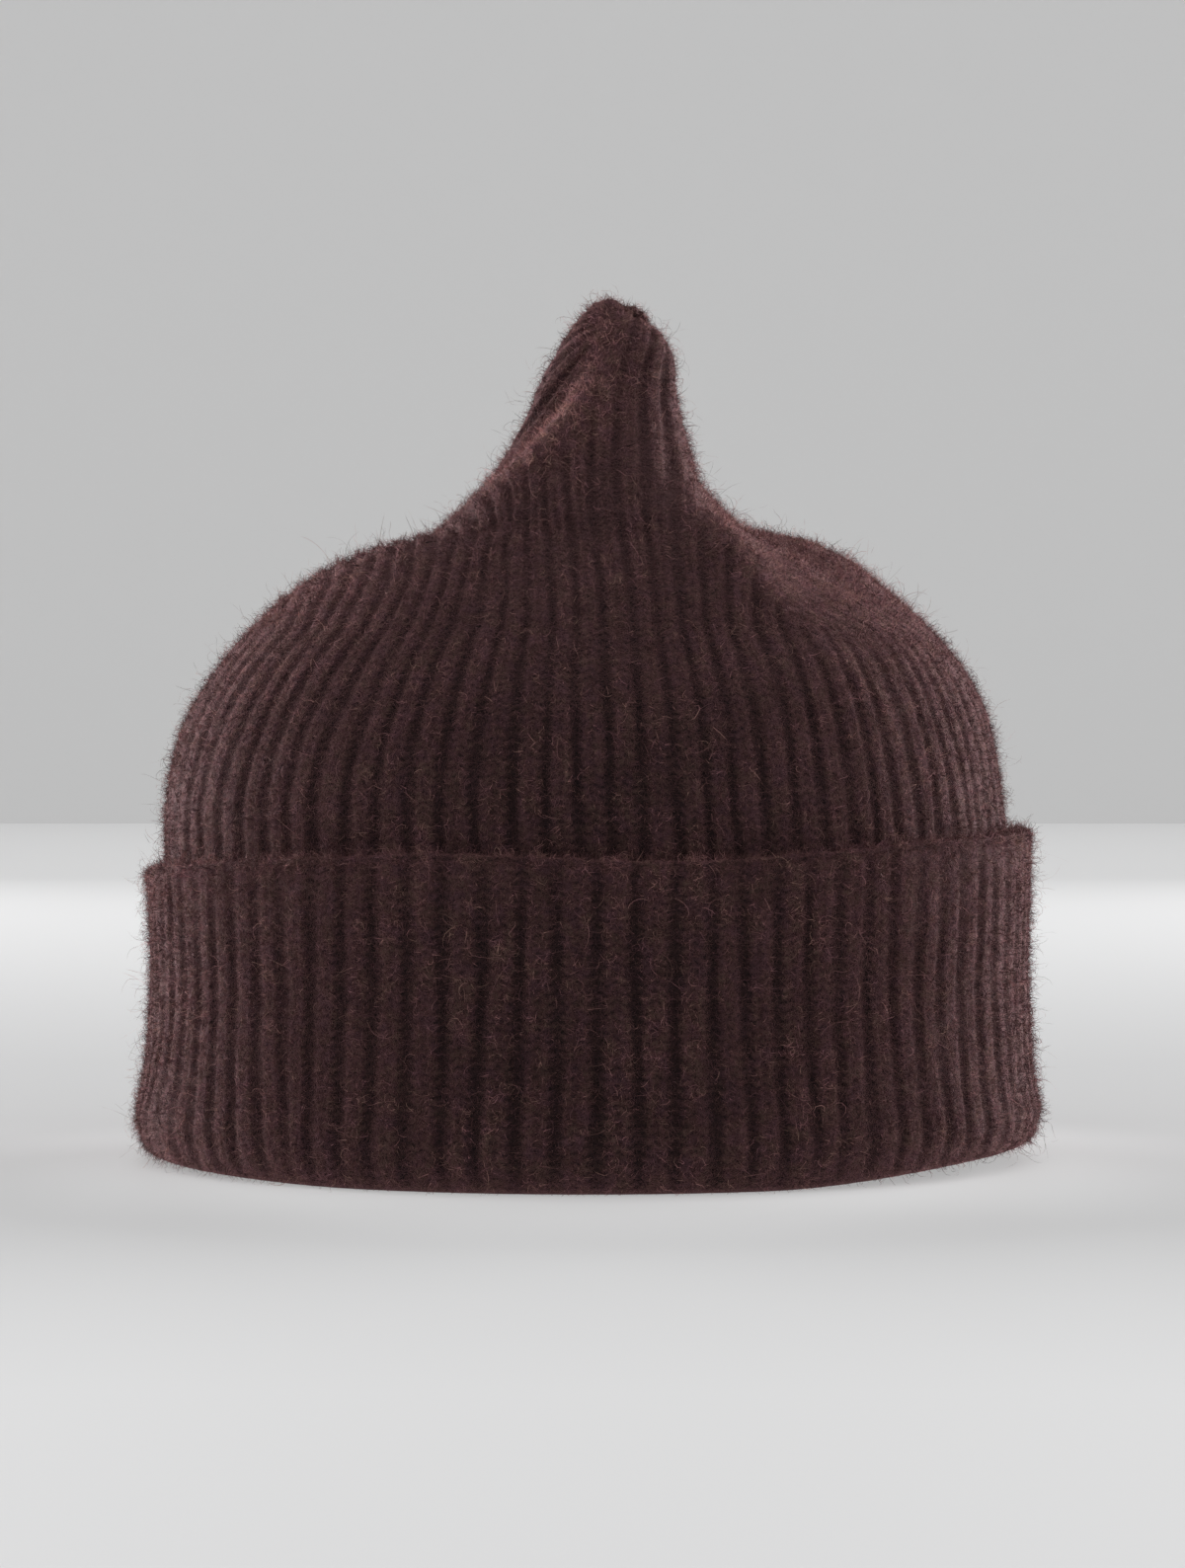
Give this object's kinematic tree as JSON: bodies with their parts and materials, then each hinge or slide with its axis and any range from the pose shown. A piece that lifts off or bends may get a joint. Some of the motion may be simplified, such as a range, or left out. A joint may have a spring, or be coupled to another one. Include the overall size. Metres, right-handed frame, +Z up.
{
  "type": "rib-knit beanie",
  "caption": "Brushed rib-knit wool beanie with a turned-up cuff and a drawn-up peak, standing on its folded edge, hollow and open below.",
  "frame": {"origin": "middle of the overall box, on the surface that the folded edge stands on", "axes": "+Z up towards the peak, -Y to the front, +X to the right as seen from the front"},
  "size_m": [0.19, 0.1786, 0.1804],
  "materials": {
    "crown_knit": "brushed rib-knit lambswool, deep aubergine brown, hairy nap",
    "cuff_knit": "brushed rib-knit lambswool, deep aubergine brown, hairy nap",
    "edge_knit": "bound-off edge of the same wool, a little lighter",
    "gather_knit": "gathered rib ends of the same wool, a little darker"
  },
  "bodies": {
    "root": {"crown": "crown_knit", "cuff": "cuff_knit", "cuff_edge": "edge_knit", "tip_gather": "gather_knit"}
  },
  "joints": []
}
